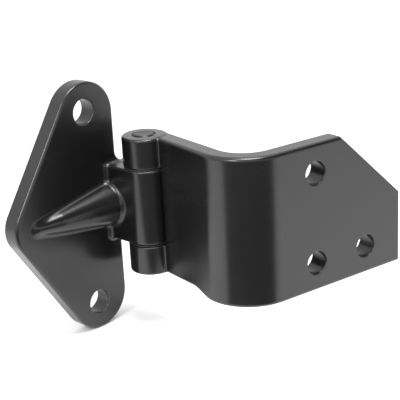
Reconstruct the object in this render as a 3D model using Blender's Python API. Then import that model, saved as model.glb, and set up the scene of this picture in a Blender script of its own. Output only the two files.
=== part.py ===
"""Black coated swing hinge: a three-cornered mounting bracket and a bent strap on one pin.

The bracket bolts flat against an upright post or body panel. The strap reaches
forward from the pin, bends a right angle and lies against the door or tailgate.
The pin is held by the strap's two eyes and turns in two flanged bushes that
line the bracket's knuckle.

Frame: metres, +Z up along the hinge pin. The bracket's rear face lies in the
plane Y = 0 and its front looks toward -Y. The origin is on that rear face,
midway between the bracket's two bolt holes.
"""
import math

import bpy
from mathutils import Matrix, Vector

# --- clearances -------------------------------------------------------------
FIT_GAP = 0.0003            # radial, between pieces that are pressed together
SEAT_GAP = 0.0001           # between a bush's flange and the knuckle's end
RUNNING_CLEARANCE = 0.0001  # radial, between the pin and the bushes it turns in
END_CLEARANCE = 0.0002      # between a bush's flange and the strap's eye
BLEND_STEP = 0.00005        # lets one surface die into another without a shared face
SWING_CLEARANCE = 0.001     # between the bracket's knuckle and the strap's notch

# --- barrel: pin, bushes and knuckles ---------------------------------------
PIN_DIAMETER = 0.008
PIN_STANDS_PROUD = 0.0003
PIN_CHAMFER = 0.0006
BUSH_WALL = 0.0012
BUSH_SLEEVE = 0.0105
BUSH_FLANGE_THICKNESS = 0.0005
BUSH_FLANGE_WIDTH = 0.0025
BUSH_EDGE_RADIUS = 0.0002
KNUCKLE_WALL = 0.0024
KNUCKLE_HEIGHT = 0.0278
KNUCKLE_EDGE_RADIUS = 0.0008
EYE_HEIGHT = 0.0107
EYE_EDGE_RADIUS = 0.0009

# --- mounting bracket -------------------------------------------------------
PLATE_THICKNESS = 0.0065
PLATE_FRONT_EDGE_RADIUS = 0.001
PLATE_REAR_EDGE_RADIUS = 0.0004
BRACKET_HOLE_DIAMETER = 0.009
BRACKET_HOLE_PITCH = 0.072
LOBE_RADIUS = 0.0125
LOBE_PAST_HOLE = -0.0022    # the lobe's centre, measured outward from its hole
LOBE_OFFSET_X = 0.001
TIP_RADIUS = 0.0103
TIP_REACH = 0.024           # from the line of the holes to the tip's centre
KNUCKLE_TO_PLATE = 0.0045
PIVOT_OFFSET_X = 0.016
BARREL_RISE = 0.0006        # the barrel's middle, above the point midway between the bolt holes
ROOT_DEPTH = 0.0015         # how deep the web and the rib are rooted in the plate
WEB_FILLET_RADIUS = 0.0035  # where the web's ends run out along the plate's edge
RIB_TIP_RADIUS = 0.0024
RIB_ROOT_RADIUS = 0.0079
RIB_TIP_INSET = 0.0073      # from the plate's outermost tip to the rib's end

# --- strap ------------------------------------------------------------------
STRAP_THICKNESS = 0.0075
STRAP_REACH = 0.0525        # from the pin's axis to the strap's outer face
STRAP_LENGTH = 0.0741       # from the pin's axis to the strap's free end
STRAP_DROP = 0.0025         # how far the strap runs below the lower eye
STRAP_EDGE_RADIUS = 0.0014
BEND_RADIUS = 0.018         # outer radius of the bend
DROP_START = 0.010          # before the bend, where the lower edge starts down
STRAP_HOLE_DIAMETER = 0.0084
STRAP_HOLE_FROM_END = 0.0173
STRAP_HOLE_SPACING = 0.023
STRAP_HOLE_FROM_TOP = 0.0103
STRAP_HOLE_FROM_BOTTOM = 0.0104
CORNER_CUT_LENGTH = 0.0281
CORNER_CUT_HEIGHT = 0.0264

# --- rest pose --------------------------------------------------------------
REST_OPENING = math.radians(11.0)

# --- how finely round shapes are divided ------------------------------------
ROUND_SEGMENTS = 64
HOLE_SEGMENTS = 48
EDGE_STEPS = 3
BEND_STEPS = 14
DROP_STEPS = 4
CUT_MARGIN = 0.004

# --- sizes that follow from the ones above ----------------------------------
PIN_RADIUS = PIN_DIAMETER / 2
BUSH_INNER_RADIUS = PIN_RADIUS + RUNNING_CLEARANCE
BUSH_OUTER_RADIUS = BUSH_INNER_RADIUS + BUSH_WALL
KNUCKLE_BORE_RADIUS = BUSH_OUTER_RADIUS + FIT_GAP
KNUCKLE_RADIUS = KNUCKLE_BORE_RADIUS + KNUCKLE_WALL
KNUCKLE_TOP = KNUCKLE_HEIGHT / 2
BUSH_FLANGE_SEAT = KNUCKLE_TOP + SEAT_GAP
BUSH_FLANGE_TOP = BUSH_FLANGE_SEAT + BUSH_FLANGE_THICKNESS
EYE_INNER_END = BUSH_FLANGE_TOP + END_CLEARANCE
EYE_OUTER_END = EYE_INNER_END + EYE_HEIGHT
NOTCH_RADIUS = KNUCKLE_RADIUS + SWING_CLEARANCE

PLATE_FRONT_Y = -PLATE_THICKNESS
PIVOT = Vector((PIVOT_OFFSET_X, PLATE_FRONT_Y - KNUCKLE_TO_PLATE - KNUCKLE_RADIUS, BARREL_RISE))
LOBE_Z = BRACKET_HOLE_PITCH / 2 + LOBE_PAST_HOLE
PLATE_EDGE_X = LOBE_OFFSET_X + LOBE_RADIUS

STRAP_BACK = KNUCKLE_RADIUS - BLEND_STEP
STRAP_FRONT = STRAP_BACK - STRAP_THICKNESS
STRAP_TOP = EYE_OUTER_END - BLEND_STEP
STRAP_NECK_BOTTOM = -EYE_OUTER_END + BLEND_STEP
STRAP_BOTTOM = STRAP_NECK_BOTTOM - STRAP_DROP
BEND_START = STRAP_REACH - BEND_RADIUS


def clear_scene():
    """Empty the scene, so that a second run builds the same model."""
    for obj in list(bpy.data.objects):
        bpy.data.objects.remove(obj, do_unlink=True)


def make_material(name, colour, roughness, metallic):
    """A plain Principled material."""
    material = bpy.data.materials.new(name)
    material.use_nodes = True
    shader = material.node_tree.nodes["Principled BSDF"]
    shader.inputs["Base Color"].default_value = (*colour, 1.0)
    shader.inputs["Roughness"].default_value = roughness
    shader.inputs["Metallic"].default_value = metallic
    return material


def add_mesh(name, points, faces):
    """Put a mesh object into the scene, shaded smooth up to its sharp edges."""
    mesh = bpy.data.meshes.new(name)
    mesh.from_pydata([tuple(point) for point in points], [], faces)
    mesh.validate()
    mesh.shade_smooth()
    mesh.set_sharp_from_angle(angle=math.radians(35))
    obj = bpy.data.objects.new(name, mesh)
    bpy.context.scene.collection.objects.link(obj)
    return obj


def loft(name, rings):
    """A closed solid through rings of equal length, capped at both ends."""
    count = len(rings[0])
    points = [point for ring in rings for point in ring]
    faces = []
    for level in range(len(rings) - 1):
        for i in range(count):
            j = (i + 1) % count
            low = level * count
            high = low + count
            faces.append((low + i, low + j, high + j, high + i))
    last = (len(rings) - 1) * count
    faces.append(tuple(reversed(range(count))))
    faces.append(tuple(last + i for i in range(count)))
    return add_mesh(name, points, faces)


def arc(centre, radius, start, end, steps):
    """Points of an arc in a plane, ends included; angles in radians."""
    points = []
    for i in range(steps + 1):
        angle = start + (end - start) * i / steps
        points.append((centre[0] + radius * math.cos(angle), centre[1] + radius * math.sin(angle)))
    return points


def inset(outline, distance):
    """Move every side of a convex counter-clockwise outline inward."""
    moved = []
    count = len(outline)
    for i in range(count):
        before = Vector(outline[i - 1])
        here = Vector(outline[i])
        after = Vector(outline[(i + 1) % count])
        side_in = (here - before).normalized()
        side_out = (after - here).normalized()
        normal_in = Vector((-side_in.y, side_in.x))
        normal_out = Vector((-side_out.y, side_out.x))
        middle = (normal_in + normal_out).normalized()
        moved.append(here + middle * (distance / middle.dot(normal_in)))
    return moved


def slab(name, outline, low, high, low_radius, high_radius, place):
    """A plate of a convex outline with both rims rounded; place maps (a, b, level) to a point."""
    rings = []
    for step in range(EDGE_STEPS + 1):
        angle = math.pi / 2 * step / EDGE_STEPS
        level = low + low_radius * (1 - math.sin(angle))
        rings.insert(0, (level, low_radius * (1 - math.cos(angle))))
    for step in range(EDGE_STEPS + 1):
        angle = math.pi / 2 * step / EDGE_STEPS
        level = high - high_radius * (1 - math.sin(angle))
        rings.append((level, high_radius * (1 - math.cos(angle))))
    rings = sorted(rings)
    points = [[place(a, b, level) for a, b in inset(outline, depth)] for level, depth in rings]
    return loft(name, points)


def turned(name, profile, segments, centre=(0.0, 0.0)):
    """A turned solid: the closed (radius, height) profile, listed from the top outer edge down."""
    count = len(profile)
    points = []
    for i in range(segments):
        angle = 2 * math.pi * i / segments
        for radius, height in profile:
            x = centre[0] + radius * math.cos(angle)
            y = centre[1] + radius * math.sin(angle)
            points.append((x, y, height))
    faces = []
    for i in range(segments):
        j = (i + 1) % segments
        for k in range(count):
            m = (k + 1) % count
            faces.append((i * count + k, i * count + m, j * count + m, j * count + k))
    return add_mesh(name, points, faces)


def cylinder(name, radius, low, high, segments, edge_radius=0.0):
    """An upright round bar on the local Z axis, its rims rounded when edge_radius is given."""
    outline = arc((0.0, 0.0), radius, 0.0, 2 * math.pi, segments)[:-1]
    if edge_radius:
        return slab(name, outline, low, high, edge_radius, edge_radius, lambda a, b, c: (a, b, c))
    return loft(name, [[(a, b, level) for a, b in outline] for level in (low, high)])


def as_cutter(obj):
    """Mark a tool that only cuts or joins and is not a piece itself."""
    obj.hide_render = True
    obj.display_type = "WIRE"
    return obj


def boolean(obj, tool, operation):
    """Cut with a tool, or join it on."""
    modifier = obj.modifiers.new(tool.name, "BOOLEAN")
    modifier.operation = operation
    modifier.object = as_cutter(tool)
    modifier.solver = "EXACT"


def lay_along_y(obj, x, y, z):
    """Turn an upright tool so that it runs along Y, and place it."""
    obj.matrix_world = Matrix.Translation((x, y, z)) @ Matrix.Rotation(math.pi / 2, 4, "X")


# --- mounting bracket -------------------------------------------------------

def plate_outline():
    """Hull of the upper lobe, the lower lobe and the tip, counter-clockwise in X and Z."""
    lobe = Vector((LOBE_OFFSET_X, LOBE_Z))
    tip = Vector((-TIP_REACH, 0.0))
    run = lobe - tip
    lean = math.atan2(run.y, run.x)
    side = lean + math.acos((TIP_RADIUS - LOBE_RADIUS) / run.length)
    upper = arc((lobe.x, lobe.y), LOBE_RADIUS, 0.0, side, 16)
    around_tip = arc((tip.x, tip.y), TIP_RADIUS, side, 2 * math.pi - side, 12)
    lower = arc((lobe.x, -lobe.y), LOBE_RADIUS, 2 * math.pi - side, 2 * math.pi, 16)
    return upper + around_tip + lower


def make_plate():
    """The three-cornered plate; its front rim is rounder than its rear rim."""
    outline = plate_outline()
    return slab("mounting_bracket", outline, 0.0, PLATE_THICKNESS, PLATE_REAR_EDGE_RADIUS,
                PLATE_FRONT_EDGE_RADIUS, lambda a, b, depth: (a, -depth, b))


def make_knuckle_and_web():
    """The knuckle with the thick web that carries it, one outline seen from above."""
    root = PLATE_FRONT_Y + ROOT_DEPTH
    outline = arc(PIVOT.xy, KNUCKLE_RADIUS, math.pi, 2 * math.pi, ROUND_SEGMENTS // 2)
    outline += [(PIVOT.x + KNUCKLE_RADIUS, root), (PIVOT.x - KNUCKLE_RADIUS, root)]
    return slab("knuckle_and_web", outline, -KNUCKLE_TOP, KNUCKLE_TOP, KNUCKLE_EDGE_RADIUS,
                KNUCKLE_EDGE_RADIUS, lambda a, b, level: (a, b, PIVOT.z + level))


def make_web_fillet(name, side):
    """The hollow corner between the plate's straight edge and one end of the web."""
    shelf = KNUCKLE_TOP - KNUCKLE_EDGE_RADIUS
    inside = PLATE_EDGE_X - PLATE_FRONT_EDGE_RADIUS
    centre = (inside + WEB_FILLET_RADIUS, shelf + WEB_FILLET_RADIUS)
    outline = [(inside, shelf - KNUCKLE_EDGE_RADIUS), (centre[0], shelf - KNUCKLE_EDGE_RADIUS)]
    outline += arc(centre, WEB_FILLET_RADIUS, 1.5 * math.pi, math.pi, 8)
    outline = [(a, PIVOT.z + side * b) for a, b in outline]
    rings = []
    for y in (PLATE_FRONT_Y + BLEND_STEP, PLATE_FRONT_Y + ROOT_DEPTH - BLEND_STEP):
        rings.append([(a, y, b) for a, b in outline])
    if side > 0:
        rings.reverse()
    return loft(name, rings)


def rib_section(x, radius):
    """Half round standing on the plate, with a foot inside it."""
    points = [(x, PLATE_FRONT_Y - radius * math.sin(angle), radius * math.cos(angle))
              for angle in [math.pi * i / 16 for i in range(17)]]
    foot = PLATE_FRONT_Y + ROOT_DEPTH
    return points + [(x, foot, -radius), (x, foot, radius)]


def make_rib():
    """The tapering half-round rib that runs from the plate's tip into the web."""
    tip_end = -TIP_REACH - TIP_RADIUS + RIB_TIP_INSET
    web_side = PIVOT.x - KNUCKLE_RADIUS
    root_end = web_side + ROOT_DEPTH
    slope = (RIB_ROOT_RADIUS - RIB_TIP_RADIUS) / (web_side - tip_end - RIB_TIP_RADIUS)
    rings = []
    for angle in [math.radians(degrees) for degrees in (15, 40, 65)]:
        x = tip_end + RIB_TIP_RADIUS * (1 - math.cos(angle))
        rings.append(rib_section(x, RIB_TIP_RADIUS * math.sin(angle)))
    rings.append(rib_section(tip_end + RIB_TIP_RADIUS, RIB_TIP_RADIUS))
    rings.append(rib_section(root_end, RIB_ROOT_RADIUS + slope * ROOT_DEPTH))
    return loft("rib", rings)


def make_bracket():
    """Plate, web, knuckle and rib are one forging, drilled and bored."""
    bracket = make_plate()
    boolean(bracket, make_knuckle_and_web(), "UNION")
    boolean(bracket, make_rib(), "UNION")
    boolean(bracket, make_web_fillet("upper_web_fillet", 1), "UNION")
    boolean(bracket, make_web_fillet("lower_web_fillet", -1), "UNION")
    bore_end = KNUCKLE_TOP + CUT_MARGIN
    bore = cylinder("knuckle_bore", KNUCKLE_BORE_RADIUS, -bore_end, bore_end, HOLE_SEGMENTS)
    bore.location = PIVOT
    boolean(bracket, bore, "DIFFERENCE")
    for side, name in ((1, "upper"), (-1, "lower")):
        hole = cylinder(f"{name}_bracket_hole", BRACKET_HOLE_DIAMETER / 2, -CUT_MARGIN,
                        PLATE_THICKNESS + CUT_MARGIN, HOLE_SEGMENTS)
        lay_along_y(hole, 0.0, 0.0, side * BRACKET_HOLE_PITCH / 2)
        boolean(bracket, hole, "DIFFERENCE")
    bracket.data.materials.append(make_material("bracket_black_coat", (0.02, 0.02, 0.021), 0.38, 0.0))
    return bracket


# --- bushes and pin ---------------------------------------------------------

def make_bush(name, side):
    """A flanged bush pressed in from one end of the knuckle; side is +1 above, -1 below."""
    flange_radius = BUSH_OUTER_RADIUS + BUSH_FLANGE_WIDTH
    rim = BUSH_EDGE_RADIUS
    sleeve_end = BUSH_FLANGE_SEAT - BUSH_SLEEVE
    profile = [(BUSH_INNER_RADIUS, BUSH_FLANGE_TOP), (BUSH_INNER_RADIUS, sleeve_end),
               (BUSH_OUTER_RADIUS, sleeve_end), (BUSH_OUTER_RADIUS, BUSH_FLANGE_SEAT),
               (flange_radius, BUSH_FLANGE_SEAT)]
    corner = (flange_radius - rim, BUSH_FLANGE_TOP - rim)
    profile += arc(corner, rim, 0.0, math.pi / 2, EDGE_STEPS)
    bush = turned(name, list(reversed(profile)), ROUND_SEGMENTS)
    turn = Matrix.Rotation(math.pi, 4, "X") if side < 0 else Matrix.Identity(4)
    bush.matrix_world = Matrix.Translation(PIVOT) @ turn
    bush.data.materials.append(make_material(f"{name}_black_polymer", (0.03, 0.03, 0.031), 0.45, 0.0))
    return bush


def make_pin(swing_axis):
    """The straight pin with chamfered ends, held by the strap's eyes."""
    end = EYE_OUTER_END + PIN_STANDS_PROUD
    narrow = PIN_RADIUS - PIN_CHAMFER
    rings = []
    for radius, height in ((narrow, -end), (PIN_RADIUS, -end + PIN_CHAMFER),
                           (PIN_RADIUS, end - PIN_CHAMFER), (narrow, end)):
        circle = arc((0.0, 0.0), radius, 0.0, 2 * math.pi, HOLE_SEGMENTS)[:-1]
        rings.append([(a, b, height) for a, b in circle])
    pin = loft("hinge_pin", rings)
    pin.parent = swing_axis
    pin.data.materials.append(make_material("pin_blackened_steel", (0.05, 0.05, 0.052), 0.35, 0.6))
    return pin


# --- strap ------------------------------------------------------------------

def strap_section(front, back, low, high, depth=0.0):
    """A rounded rectangle between two plan points; depth shrinks it evenly."""
    front = Vector(front)
    back = Vector(back)
    across = (back - front).normalized()
    thickness = (back - front).length
    radius = STRAP_EDGE_RADIUS - depth
    corners = [(depth + radius, low + depth + radius, math.pi), (thickness - depth - radius, low + depth + radius,
               1.5 * math.pi), (thickness - depth - radius, high - depth - radius, 0.0),
               (depth + radius, high - depth - radius, 0.5 * math.pi)]
    ring = []
    for s, z, start in corners:
        for a, b in arc((s, z), radius, start, start + math.pi / 2, EDGE_STEPS):
            plan = front + across * a
            ring.append((plan.x, plan.y, b))
    return ring


def strap_stations():
    """Front point, back point, lower edge and upper edge along the strap, in the swing frame."""
    stations = [((STRAP_FRONT, 0.0), (STRAP_BACK, 0.0), STRAP_NECK_BOTTOM, STRAP_TOP)]
    for i in range(DROP_STEPS + 1):
        share = i / DROP_STEPS
        forward = BEND_START - DROP_START * (1 - share)
        low = STRAP_NECK_BOTTOM - STRAP_DROP * share * share * (3 - 2 * share)
        stations.append(((STRAP_FRONT, -forward), (STRAP_BACK, -forward), low, STRAP_TOP))
    centre = (STRAP_FRONT + BEND_RADIUS, -BEND_START)
    outside = arc(centre, BEND_RADIUS, math.pi, 1.5 * math.pi, BEND_STEPS)
    inside = arc(centre, BEND_RADIUS - STRAP_THICKNESS, math.pi, 1.5 * math.pi, BEND_STEPS)
    for front, back in list(zip(outside, inside))[1:]:
        stations.append((front, back, STRAP_BOTTOM, STRAP_TOP))
    inner_face = -STRAP_REACH + STRAP_THICKNESS
    cut_from = STRAP_LENGTH - CORNER_CUT_LENGTH
    stations.append(((cut_from, -STRAP_REACH), (cut_from, inner_face), STRAP_BOTTOM, STRAP_TOP))
    return stations


def strap_rings():
    """Rings through all stations, with the free end's rim rounded off."""
    rings = [strap_section(*station) for station in strap_stations()]
    slope = CORNER_CUT_HEIGHT / CORNER_CUT_LENGTH
    inner_face = -STRAP_REACH + STRAP_THICKNESS
    for step in range(EDGE_STEPS + 1):
        angle = math.radians(75) * step / EDGE_STEPS
        back_off = STRAP_EDGE_RADIUS * (1 - math.sin(angle) / math.sin(math.radians(75)))
        depth = STRAP_EDGE_RADIUS * (1 - math.cos(angle))
        reach = STRAP_LENGTH - back_off
        high = STRAP_TOP - slope * (reach - STRAP_LENGTH + CORNER_CUT_LENGTH)
        rings.append(strap_section((reach, -STRAP_REACH), (reach, inner_face), STRAP_BOTTOM, high, depth))
    return rings


def make_strap(swing_axis):
    """The bent strap with its two eyes, notched between them for the bracket's knuckle."""
    strap = loft("strap_leaf", strap_rings())
    eyes = cylinder("eyes", KNUCKLE_RADIUS, -EYE_OUTER_END, EYE_OUTER_END, ROUND_SEGMENTS, EYE_EDGE_RADIUS)
    notch = cylinder("notch", NOTCH_RADIUS, -EYE_INNER_END, EYE_INNER_END, ROUND_SEGMENTS)
    bore_end = EYE_OUTER_END + CUT_MARGIN
    bore = cylinder("eye_bore", PIN_RADIUS + FIT_GAP, -bore_end, bore_end, HOLE_SEGMENTS)
    tools = [(eyes, "UNION"), (notch, "DIFFERENCE"), (bore, "DIFFERENCE")]
    near_end = STRAP_LENGTH - STRAP_HOLE_FROM_END
    far_in = near_end - STRAP_HOLE_SPACING
    high = STRAP_TOP - STRAP_HOLE_FROM_TOP
    low = STRAP_BOTTOM + STRAP_HOLE_FROM_BOTTOM
    for name, x, z in (("upper", far_in, high), ("lower", far_in, low), ("end", near_end, low)):
        hole = cylinder(f"{name}_strap_hole", STRAP_HOLE_DIAMETER / 2, -CUT_MARGIN,
                        STRAP_THICKNESS + CUT_MARGIN, HOLE_SEGMENTS)
        lay_along_y(hole, x, -STRAP_REACH + STRAP_THICKNESS, z)
        tools.append((hole, "DIFFERENCE"))
    for tool, operation in tools:
        tool.parent = swing_axis
        boolean(strap, tool, operation)
    strap.parent = swing_axis
    strap.data.materials.append(make_material("strap_black_coat", (0.022, 0.022, 0.023), 0.36, 0.0))
    return strap


def make_swing_axis():
    """The empty on the pin's axis that carries the strap and the pin, turned to the rest pose."""
    axis = bpy.data.objects.new("swing_axis", None)
    bpy.context.scene.collection.objects.link(axis)
    axis.matrix_world = Matrix.Translation(PIVOT) @ Matrix.Rotation(-REST_OPENING, 4, "Z")
    return axis


clear_scene()
make_bracket()
make_bush("upper_bush", 1)
make_bush("lower_bush", -1)
swing = make_swing_axis()
make_strap(swing)
make_pin(swing)
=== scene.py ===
import math

import bmesh
import bpy
import numpy as np
from mathutils import Matrix, Vector


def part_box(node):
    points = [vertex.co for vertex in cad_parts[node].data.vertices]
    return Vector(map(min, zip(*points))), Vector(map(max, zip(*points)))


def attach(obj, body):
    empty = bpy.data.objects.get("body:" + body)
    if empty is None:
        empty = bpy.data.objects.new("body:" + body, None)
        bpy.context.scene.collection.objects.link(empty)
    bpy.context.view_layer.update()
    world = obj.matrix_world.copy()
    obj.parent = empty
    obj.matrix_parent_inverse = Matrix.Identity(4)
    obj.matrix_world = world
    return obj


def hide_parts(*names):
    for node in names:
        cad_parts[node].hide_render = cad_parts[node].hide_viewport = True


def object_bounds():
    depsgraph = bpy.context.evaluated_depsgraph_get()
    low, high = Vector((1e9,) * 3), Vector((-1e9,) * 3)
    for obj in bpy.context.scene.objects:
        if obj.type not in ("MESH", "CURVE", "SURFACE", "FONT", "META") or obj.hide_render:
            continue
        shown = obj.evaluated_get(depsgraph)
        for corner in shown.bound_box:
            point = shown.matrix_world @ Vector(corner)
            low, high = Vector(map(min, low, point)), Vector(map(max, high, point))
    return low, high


# --- Setting out ------------------------------------------------------------
# The hinge is set out from its pin: the pin's line, and the flat back of the
# bracket that bolts to the post. Every piece below is placed from these two.
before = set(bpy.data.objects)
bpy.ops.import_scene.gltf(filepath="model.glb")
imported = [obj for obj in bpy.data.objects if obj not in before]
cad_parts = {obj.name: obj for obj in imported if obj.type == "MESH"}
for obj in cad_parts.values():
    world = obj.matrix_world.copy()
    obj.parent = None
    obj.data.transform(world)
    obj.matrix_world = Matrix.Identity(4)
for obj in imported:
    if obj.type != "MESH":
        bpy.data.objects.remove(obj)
cad_low, cad_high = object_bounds()
mm = 0.001
pin_low, pin_high = (Vector(corner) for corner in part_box("hinge_pin"))
pin_x = (pin_low.x + pin_high.x) / 2
pin_y = (pin_low.y + pin_high.y) / 2

# --- Mounting bracket -------------------------------------------------------
# One steel forging: a flat three-cornered plate, a knuckle on a thick web, and a
# tapered rib that runs from the plate's point into the web. The die leaves a hollow
# fillet wherever they meet. It is drilled for two bolts and bored for the bushes.
plate_thickness = 6.5 * mm
plate_corners = [(1.0 * mm, 33.8 * mm, 12.5 * mm),
                 (-24.0 * mm, 0.0, 10.3 * mm),
                 (1.0 * mm, -33.8 * mm, 12.5 * mm)]
plate_front_rim = 1.0 * mm
plate_back_rim = 0.4 * mm
barrel_radius = 8.0 * mm
barrel_rise = 0.6 * mm
knuckle_half_height = 13.9 * mm
knuckle_rim = 0.8 * mm
knuckle_bore = 5.6 * mm
web_back = -5.0 * mm
rib_point = (-24.6 * mm, 2.4 * mm)
rib_root = (8.0 * mm, 7.9 * mm)
rib_sink = 1.3 * mm
rib_sink_run = 9.0 * mm
bolt_hole = 4.5 * mm
drilled_edge = 0.35 * mm
bored_edge = 0.3 * mm
skin_spacing = 0.4 * mm
bracket_bolts = (36.0 * mm, -36.0 * mm)


def slab(outline, faces, rim):
    """How far a point lies outside a slab with rounded rims."""
    across = outline + rim
    through = faces + rim
    inside = np.minimum(np.maximum(across, through), 0)
    return inside + np.hypot(np.maximum(across, 0), np.maximum(through, 0)) - rim


def run_together(one, other, hollow):
    """Two shapes forged in one, with a hollow fillet where they meet."""
    return np.maximum(hollow, np.minimum(one, other)) - np.hypot(
        np.maximum(hollow - one, 0), np.maximum(hollow - other, 0))


def cut_away(shape, tool, broken_edge):
    """The shape without the tool's space, its sharp edge broken."""
    return np.minimum(-broken_edge, np.maximum(shape, -tool)) + np.hypot(
        np.maximum(broken_edge + shape, 0), np.maximum(broken_edge - tool, 0))


def plate_outline(x, z):
    """How far a point lies outside the plate's three round corners and the straight runs between them."""
    runs = []
    for i, (cx, cz, radius) in enumerate(plate_corners):
        nx, nz, next_radius = plate_corners[(i + 1) % 3]
        along = np.array([nx - cx, nz - cz])
        length = np.hypot(*along)
        along = along / length
        lean = (radius - next_radius) / length
        runs.append(along * lean + np.array([along[1], -along[0]]) * math.sqrt(1 - lean * lean))
    far = np.full_like(x, -1.0)
    for (cx, cz, radius), out in zip(plate_corners, runs):
        far = np.maximum(far, (x - cx) * out[0] + (z - cz) * out[1] - radius)
    for i, (cx, cz, radius) in enumerate(plate_corners):
        before, after = runs[i - 1], runs[i]
        dx, dz = x - cx, z - cz
        in_corner = (before[0] * dz - before[1] * dx >= 0) & (dx * after[1] - dz * after[0] >= 0)
        far = np.where(in_corner, np.hypot(dx, dz) - radius, far)
    return far


def rib_shape(x, y, z):
    """A half cone lying on the plate, with a round point that sinks into it."""
    start, small = rib_point
    end, large = rib_root
    slope = (large - small) / (end - start)
    steep = math.sqrt(1 - slope * slope)
    sunk = np.interp(x, (start - small, start + rib_sink_run), (rib_sink, 0.0))
    out = np.hypot(y + plate_thickness - sunk, z)
    side = out * steep - (x - start) * slope - small
    point = np.hypot(out, x - start) - small
    cone = np.where((x - start) * steep + out * slope < 0, point, side)
    return np.maximum(np.maximum(cone, x - end - 1.5 * mm), y - web_back)


def bracket_shape(p):
    """How far each point lies outside the finished forging."""
    x, y, z = p.T
    middle = -plate_thickness / 2
    rim = np.where(y < middle, plate_front_rim, plate_back_rim)
    plate = slab(plate_outline(x, z), np.abs(y - middle) - plate_thickness / 2, rim)
    web_middle = (pin_y + web_back) / 2
    web = slab(np.abs(x - pin_x) - barrel_radius, np.abs(y - web_middle) - (web_back - pin_y) / 2, 0.6 * mm)
    barrel = np.hypot(x - pin_x, y - pin_y) - barrel_radius
    straight_side = np.where((y > pin_y) & (y < web_back - 2 * mm), np.abs(x - pin_x) - barrel_radius, 1.0)
    plan = np.minimum(np.minimum(web, barrel), straight_side)
    knuckle = slab(plan, np.abs(z - barrel_rise) - knuckle_half_height, knuckle_rim)
    hollow = np.interp(x, (10.5 * mm, 13.0 * mm), (2.2 * mm, 3.5 * mm))
    forging = run_together(plate, knuckle, hollow)
    forging = run_together(forging, rib_shape(x, y, z), 1.5 * mm)
    forging = cut_away(forging, np.hypot(x - pin_x, y - pin_y) - knuckle_bore, bored_edge)
    for height in bracket_bolts:
        forging = cut_away(forging, np.hypot(x, z - height) - bolt_hole, drilled_edge)
    return forging


def slope_of(shape, p):
    """The direction straight out of the surface at each point."""
    step = 0.004 * mm
    out = np.empty_like(p)
    for axis in range(3):
        shift = np.zeros(3)
        shift[axis] = step
        out[:, axis] = (shape(p + shift) - shape(p - shift)) / (2 * step)
    return out


def skin(name, node, shape, spacing):
    """An even closed mesh laid over the frame's node and drawn onto the true surface."""
    blank = bpy.data.objects.new(name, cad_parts[node].data.copy())
    bpy.context.scene.collection.objects.link(blank)
    even = blank.modifiers.new("even", "REMESH")
    even.mode = "VOXEL"
    even.voxel_size = spacing
    mesh = bpy.data.meshes.new_from_object(blank.evaluated_get(bpy.context.evaluated_depsgraph_get()))
    blank.modifiers.clear()
    blank.data = mesh
    mesh.name = name
    count = len(mesh.vertices)
    p = np.empty(count * 3)
    mesh.vertices.foreach_get("co", p)
    p = p.reshape(-1, 3)
    edges = np.empty(len(mesh.edges) * 2, dtype=np.int32)
    mesh.edges.foreach_get("vertices", edges)
    a, b = edges.reshape(-1, 2).T
    share = np.bincount(a, minlength=count) + np.bincount(b, minlength=count)
    for turn in range(9):
        if turn < 6:
            middle = np.stack([np.bincount(a, p[b, k], count) + np.bincount(b, p[a, k], count)
                               for k in range(3)], 1)
            p = p + 0.5 * (middle / share[:, None] - p)
        out = slope_of(shape, p)
        steep = np.maximum((out * out).sum(1), 0.2)
        step = np.clip(shape(p) / steep, -spacing, spacing)
        p = p - out * step[:, None]
    mesh.vertices.foreach_set("co", p.ravel())
    out = slope_of(shape, p)
    out /= np.maximum(np.linalg.norm(out, axis=1), 1e-9)[:, None]
    mesh.shade_smooth()
    mesh.normals_split_custom_set_from_vertices(out)
    # How sharply the surface turns outward at each point, kept as the "edge" attribute; the coat lightens
    # these rims as wear and as a painted highlight.
    step = 0.35 * mm
    around = [shape(p + np.eye(3)[k] * s * step) for k in range(3) for s in (-1, 1)]
    bend = sum(around) / step
    edge = mesh.attributes.new("edge", "FLOAT", "POINT")
    edge.data.foreach_set("value", np.clip(bend / 1.2, -1, 1).astype(np.float32))
    mesh.update()
    return blank


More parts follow.
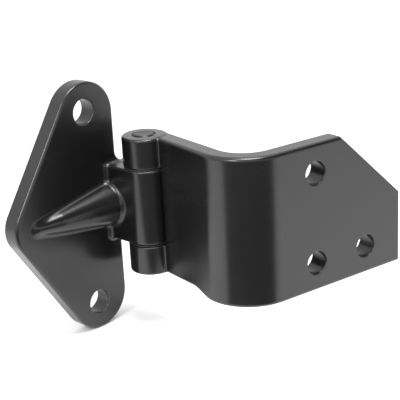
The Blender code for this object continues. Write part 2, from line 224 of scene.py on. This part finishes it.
def black_coat(name, colour, wear_and_highlight_colour, roughness, grain, pits):
    """A black coat over steel: slightly uneven gloss, fine grain, and greyer along the edges, partly
    thinner worn coat and partly a painted highlight on the rims.
    """
    coat = bpy.data.materials.new(name)
    coat.use_nodes = True
    nodes, links = coat.node_tree.nodes, coat.node_tree.links
    shader = nodes["Principled BSDF"]
    place = nodes.new("ShaderNodeTexCoord")
    clouds = nodes.new("ShaderNodeTexNoise")
    clouds.inputs["Scale"].default_value = 55.0
    clouds.inputs["Detail"].default_value = 4.0
    fine = nodes.new("ShaderNodeTexNoise")
    fine.inputs["Scale"].default_value = grain
    fine.inputs["Detail"].default_value = 3.0
    small = nodes.new("ShaderNodeTexVoronoi")
    small.inputs["Scale"].default_value = pits
    for texture in (clouds, fine, small):
        links.new(place.outputs["Object"], texture.inputs["Vector"])
    turn = nodes.new("ShaderNodeMapping")
    turn.inputs["Rotation"].default_value = (0.0, 0.6, 0.0)
    turn.inputs["Scale"].default_value = (1.0, 1.0, 5.0)
    wiped = nodes.new("ShaderNodeTexNoise")
    wiped.inputs["Scale"].default_value = 24.0
    wiped.inputs["Detail"].default_value = 3.0
    links.new(place.outputs["Object"], turn.inputs["Vector"])
    links.new(turn.outputs["Vector"], wiped.inputs["Vector"])
    # Convex edges, broken up by clouds, pick the lighter edge colour: partly worn coat, partly a painted
    # highlight along the rims.
    edge_wear_and_highlight = nodes.new("ShaderNodeAttribute")
    edge_wear_and_highlight.attribute_name = "edge"
    patchy_wear_and_highlight = nodes.new("ShaderNodeMath")
    patchy_wear_and_highlight.operation = "MULTIPLY"
    links.new(edge_wear_and_highlight.outputs["Fac"], patchy_wear_and_highlight.inputs[0])
    links.new(clouds.outputs["Fac"], patchy_wear_and_highlight.inputs[1])
    wear_and_highlight_mask = nodes.new("ShaderNodeMapRange")
    wear_and_highlight_mask.inputs["From Min"].default_value = 0.10
    wear_and_highlight_mask.inputs["From Max"].default_value = 0.55
    links.new(patchy_wear_and_highlight.outputs[0], wear_and_highlight_mask.inputs["Value"])
    tone = nodes.new("ShaderNodeMix")
    tone.data_type = "RGBA"
    tone.inputs["A"].default_value = (*colour, 1)
    tone.inputs["B"].default_value = (*[c * 1.7 for c in colour], 1)
    links.new(clouds.outputs["Fac"], tone.inputs["Factor"])
    # Mix towards the lighter edge colour: partly thin worn coat on the rims and partly a painted highlight
    # along them.
    rubbed_and_highlit = nodes.new("ShaderNodeMix")
    rubbed_and_highlit.data_type = "RGBA"
    rubbed_and_highlit.inputs["B"].default_value = (*wear_and_highlight_colour, 1)
    links.new(wear_and_highlight_mask.outputs["Result"], rubbed_and_highlit.inputs["Factor"])
    links.new(tone.outputs["Result"], rubbed_and_highlit.inputs["A"])
    links.new(rubbed_and_highlit.outputs["Result"], shader.inputs["Base Color"])
    gloss = nodes.new("ShaderNodeMapRange")
    gloss.inputs["To Min"].default_value = roughness - 0.07
    gloss.inputs["To Max"].default_value = roughness + 0.10
    uneven = nodes.new("ShaderNodeMix")
    uneven.data_type = "FLOAT"
    uneven.inputs["Factor"].default_value = 0.6
    links.new(clouds.outputs["Fac"], uneven.inputs["A"])
    links.new(wiped.outputs["Fac"], uneven.inputs["B"])
    links.new(uneven.outputs["Result"], gloss.inputs["Value"])
    links.new(gloss.outputs["Result"], shader.inputs["Roughness"])
    height = nodes.new("ShaderNodeMath")
    height.operation = "ADD"
    links.new(fine.outputs["Fac"], height.inputs[0])
    links.new(small.outputs["Distance"], height.inputs[1])
    bump = nodes.new("ShaderNodeBump")
    bump.inputs["Strength"].default_value = 0.25
    bump.inputs["Distance"].default_value = 0.03 * mm
    links.new(height.outputs[0], bump.inputs["Height"])
    links.new(bump.outputs["Normal"], shader.inputs["Normal"])
    shader.inputs["Specular IOR Level"].default_value = 0.6
    return coat


bracket = skin("bracket_forging", "mounting_bracket", bracket_shape, skin_spacing)
coat_black = (0.0035, 0.0035, 0.0037)
coat_roughness = 0.24
forged_coat = black_coat("forged_black_coat", coat_black, (0.05, 0.05, 0.052), coat_roughness, 900.0, 700.0)
bracket.data.materials.clear()
bracket.data.materials.append(forged_coat)
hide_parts("mounting_bracket")
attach(bracket, "bracket")

# --- Strap ------------------------------------------------------------------
# Thick flat steel bent a right angle on a wide former. One end is machined into two
# eyes with a notch between them for the bracket's knuckle. The other is drilled for
# three bolts, and its top corner is sawn off.
open_angle = math.radians(-11.0)
strap_thickness = 7.5 * mm
strap_back = 7.95 * mm
strap_reach = 52.5 * mm
strap_end = 74.1 * mm
bend_radius = 18.0 * mm
strap_top = 25.95 * mm
strap_neck_bottom = -24.75 * mm
strap_drop = 2.5 * mm
drop_run = (24.5 * mm, 34.5 * mm)
strap_rim = 1.4 * mm
strap_end_rim = 0.5 * mm
eye_rim = 0.9 * mm
upper_eye = (15.3 * mm, 26.0 * mm)
lower_eye = (-24.8 * mm, -14.1 * mm)
notch_radius = 9.0 * mm
eye_bore = 4.15 * mm
corner_cut = (46.0 * mm, 28.1 * mm, 26.4 * mm)
strap_hole = 4.2 * mm
strap_bolts = ((33.8 * mm, 15.65 * mm), (33.8 * mm, -16.85 * mm), (56.8 * mm, -16.85 * mm))


def strap_shape(p):
    """How far each point lies outside the finished strap."""
    c, s = math.cos(-open_angle), math.sin(-open_angle)
    dx, dy = p[:, 0] - pin_x, p[:, 1] - pin_y
    u = c * dx - s * dy
    w = -(s * dx + c * dy)
    z = p[:, 2]
    core = strap_back - strap_thickness / 2
    turn_u = strap_back - strap_thickness + bend_radius
    turn_w = strap_reach - bend_radius
    core_radius = bend_radius - strap_thickness / 2
    first = np.abs(u - core)
    second = np.abs(w - strap_reach + strap_thickness / 2)
    bend = np.abs(np.hypot(u - turn_u, w - turn_w) - core_radius)
    near_pin = np.where(w > turn_w, bend, first)
    past_bend = np.where(w > turn_w, second, np.minimum(first, second))
    off_core = np.where(u < turn_u, near_pin, past_bend)
    faces = off_core - strap_thickness / 2
    share = np.clip((w - drop_run[0]) / (drop_run[1] - drop_run[0]), 0, 1)
    bottom = strap_neck_bottom - strap_drop * share * share * (3 - 2 * share)
    start, length, height = corner_cut
    slant = math.hypot(length, height)
    sawn = ((u - start) * height + (z - strap_top) * length) / slant
    ends = slab(np.maximum(z - strap_top, bottom - z), np.maximum(np.maximum(u - strap_end, -w), sawn),
                strap_end_rim)
    leaf = slab(ends, faces, strap_rim)
    barrel = np.hypot(u, w) - barrel_radius
    mid = (upper_eye[1] + lower_eye[0]) / 2
    half = (upper_eye[1] - lower_eye[0]) / 2
    eyes = slab(barrel, np.abs(z - mid) - half, eye_rim)
    steel = run_together(leaf, eyes, 0.8 * mm)
    gap_mid = (upper_eye[0] + lower_eye[1]) / 2
    gap_half = (upper_eye[0] - lower_eye[1]) / 2
    notch = np.maximum(np.hypot(u, w) - notch_radius, np.abs(z - gap_mid) - gap_half)
    steel = cut_away(steel, notch, drilled_edge)
    steel = cut_away(steel, np.hypot(u, w) - eye_bore, bored_edge)
    for along, up in strap_bolts:
        hole = np.hypot(u - along, z - up) - strap_hole
        drill = np.maximum(hole, strap_reach - strap_thickness - 4 * mm - w)
        steel = cut_away(steel, drill, drilled_edge)
    return steel


strap = skin("strap_bent_leaf", "strap_leaf", strap_shape, skin_spacing)
strap_coat = black_coat("strap_black_coat", coat_black, (0.02, 0.02, 0.021), coat_roughness, 1200.0, 900.0)
strap.data.materials.clear()
strap.data.materials.append(strap_coat)
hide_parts("strap_leaf")
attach(strap, "strap")

# --- Bushes -----------------------------------------------------------------
# Two flanged sleeves of hard black polymer, pressed into the knuckle from its two
# ends. Only the rim of each flange shows, as a thin line between knuckle and eye.


def turned(name, profile, round_steps):
    """A closed turned piece on the pin's line: the profile is (radius, height) all the way round."""
    mesh = bpy.data.meshes.new(name)
    work = bmesh.new()
    rings = []
    for i in range(round_steps):
        angle = 2 * math.pi * i / round_steps
        rings.append([work.verts.new((pin_x + r * math.cos(angle), pin_y + r * math.sin(angle), h))
                      for r, h in profile])
    for i in range(round_steps):
        here, after = rings[i], rings[(i + 1) % round_steps]
        for k in range(len(profile)):
            m = (k + 1) % len(profile)
            work.faces.new((here[k], here[m], after[m], after[k]))
    bmesh.ops.recalc_face_normals(work, faces=work.faces)
    work.to_mesh(mesh)
    work.free()
    mesh.shade_smooth()
    mesh.set_sharp_from_angle(angle=math.radians(40))
    piece = bpy.data.objects.new(name, mesh)
    bpy.context.scene.collection.objects.link(piece)
    return piece


def rounded(r, h, radius, start, steps=4):
    """The points of a quarter round on a turned profile, from this angle in degrees."""
    return [(r + radius * math.cos(math.radians(start + 90 * k / steps)),
             h + radius * math.sin(math.radians(start + 90 * k / steps))) for k in range(steps + 1)]


def bush_profile(side):
    """Sleeve, flange, and the flange's rounded rim; side is +1 above and -1 below."""
    seat, top, deep = 14.0 * mm, 14.5 * mm, 3.5 * mm
    bore, wall, flange = 4.1 * mm, 5.3 * mm, 7.8 * mm
    points = [(bore, deep), (wall, deep), (wall, seat), (flange, seat)]
    points += rounded(flange - 0.25 * mm, top - 0.25 * mm, 0.25 * mm, 0)
    points += rounded(bore + 0.2 * mm, top - 0.2 * mm, 0.2 * mm, 90)
    return [(r, barrel_rise + side * h) for r, h in points]


polymer = bpy.data.materials.new("bush_black_polymer")
polymer.use_nodes = True
polymer_shader = polymer.node_tree.nodes["Principled BSDF"]
polymer_place = polymer.node_tree.nodes.new("ShaderNodeTexCoord")
polymer_grain = polymer.node_tree.nodes.new("ShaderNodeTexNoise")
polymer_grain.inputs["Scale"].default_value = 1500.0
polymer_tone = polymer.node_tree.nodes.new("ShaderNodeMapRange")
polymer_tone.inputs["To Min"].default_value = 0.42
polymer_tone.inputs["To Max"].default_value = 0.58
polymer_bump = polymer.node_tree.nodes.new("ShaderNodeBump")
polymer_bump.inputs["Distance"].default_value = 0.02 * mm
polymer_bump.inputs["Strength"].default_value = 0.3
polymer.node_tree.links.new(polymer_place.outputs["Object"], polymer_grain.inputs["Vector"])
polymer.node_tree.links.new(polymer_grain.outputs["Fac"], polymer_tone.inputs["Value"])
polymer.node_tree.links.new(polymer_tone.outputs["Result"], polymer_shader.inputs["Roughness"])
polymer.node_tree.links.new(polymer_grain.outputs["Fac"], polymer_bump.inputs["Height"])
polymer.node_tree.links.new(polymer_bump.outputs["Normal"], polymer_shader.inputs["Normal"])
polymer_shader.inputs["Base Color"].default_value = (0.012, 0.012, 0.012, 1)
for node, side in (("upper_bush", 1), ("lower_bush", -1)):
    bush = turned(node + "_flanged", bush_profile(side), 96)
    bush.data.materials.append(polymer)
    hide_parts(node)
    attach(bush, "bracket")

# --- Pin --------------------------------------------------------------------
# A straight bar of blackened steel with turned ends, pressed through the strap's two
# eyes. Its upper end shows as a disc with a chamfered rim.
pin_top, pin_bottom = pin_high.z, pin_low.z
pin_radius = 4.0 * mm
pin_profile = [(0.02 * mm, pin_top - 0.15 * mm), (1.2 * mm, pin_top - 0.12 * mm), (2.9 * mm, pin_top),
               (3.4 * mm, pin_top), (pin_radius, pin_top - 0.6 * mm), (pin_radius, pin_bottom + 0.6 * mm),
               (3.4 * mm, pin_bottom), (0.02 * mm, pin_bottom)]
pin = turned("pin_bar", pin_profile, 96)
pin_steel = black_coat("pin_blackened_steel", (0.005, 0.005, 0.0053), (0.05, 0.05, 0.052), 0.34,
                       1500.0, 1200.0)
pin_steel.node_tree.nodes["Principled BSDF"].inputs["Specular IOR Level"].default_value = 0.35
pin.data.materials.append(pin_steel)
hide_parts("hinge_pin")
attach(pin, "strap")

# --- Floor, light and camera ------------------------------------------------
# A pale floor under the bracket's lowest point and a bright tent all round, with one
# lamp overhead and one low on the left. Two black cards on the camera's side keep
# the coat dark where it faces them.
floor_height = cad_low[2] - 0.05 * mm
floor_mesh = bpy.data.meshes.new("floor")
half_width = 3.0
floor_mesh.from_pydata([(side * half_width, end * half_width, floor_height)
                        for side, end in ((-1, -1), (1, -1), (1, 1), (-1, 1))], [], [(0, 1, 2, 3)])
floor = bpy.data.objects.new("floor", floor_mesh)
bpy.context.scene.collection.objects.link(floor)
pale = bpy.data.materials.new("floor_pale")
pale.use_nodes = True
pale.node_tree.nodes["Principled BSDF"].inputs["Base Color"].default_value = (0.92, 0.92, 0.92, 1)
pale.node_tree.nodes["Principled BSDF"].inputs["Roughness"].default_value = 0.9
floor_mesh.materials.append(pale)

tent = bpy.data.worlds.new("tent")
tent.use_nodes = True
tent.node_tree.nodes["Background"].inputs["Color"].default_value = (1, 1, 1, 1)
tent.node_tree.nodes["Background"].inputs["Strength"].default_value = 1.2
bpy.context.scene.world = tent


def soft_box(name, place, aim, wide, deep, watts):
    """A flat diffused lamp that faces a point."""
    lamp_data = bpy.data.lights.new(name, "AREA")
    lamp_data.shape = "RECTANGLE"
    lamp_data.size = wide
    lamp_data.size_y = deep
    lamp_data.energy = watts
    lamp = bpy.data.objects.new(name, lamp_data)
    bpy.context.scene.collection.objects.link(lamp)
    place = Vector(place)
    facing = (Vector(aim) - place).to_track_quat("-Z", "Y").to_matrix().to_4x4()
    lamp.matrix_world = Matrix.Translation(place) @ facing


soft_box("overhead", (-0.01, -0.15, 0.56), (0.02, -0.04, 0.0), 0.26, 0.26, 3.4)
soft_box("left_side", (-0.39, -0.13, 0.286), (0.0, -0.02, 0.0), 0.13, 0.13, 0.85)


def black_card(name, corners):
    """A flat black card on the camera's side of the tent: only the gloss of the coat sees it."""
    mesh = bpy.data.meshes.new(name)
    mesh.from_pydata(corners, [], [tuple(range(len(corners)))])
    card = bpy.data.objects.new(name, mesh)
    bpy.context.scene.collection.objects.link(card)
    black = bpy.data.materials.new(name)
    black.use_nodes = True
    black.node_tree.nodes["Principled BSDF"].inputs["Base Color"].default_value = (0.05, 0.05, 0.05, 1)
    mesh.materials.append(black)
    card.visible_camera = False
    card.visible_diffuse = False
    card.visible_shadow = False


bend_foot = (0.015, -0.060)
card_height = floor_height + 0.5 * mm
reach = [(math.cos(math.radians(a)), math.sin(math.radians(a))) for a in range(170, 283, 8)]
card_near, card_far = 0.03, 1.5
card_rim = [(card_near * x, card_near * y) for x, y in reversed(reach)]
card_rim += [(card_far * x, card_far * y) for x, y in reach]
black_card("floor_card", [(bend_foot[0] + x, bend_foot[1] + y, card_height) for x, y in card_rim])
black_card("front_card", [(-0.25, -1.0, 0.30), (1.60, -0.90, 0.30),
                          (1.60, -0.55, 1.40), (-0.25, -0.65, 1.40)])
bpy.context.scene.view_settings.view_transform = "Standard"

eye = Vector((-0.25133, -0.30048, 0.13502))
towards = Vector((0.6826, 0.6529, -0.3282))
camera_data = bpy.data.cameras.new("camera")
camera_data.sensor_width = 36.0
camera_data.lens = 102.66
camera_data.clip_start = 0.01
camera = bpy.data.objects.new("camera", camera_data)
bpy.context.scene.collection.objects.link(camera)
level = towards.to_track_quat("-Z", "Y").to_matrix().to_4x4()
camera.matrix_world = Matrix.Translation(eye) @ level @ Matrix.Rotation(math.radians(-3.09), 4, "Z")
bpy.context.scene.camera = camera

bpy.context.view_layer.update()
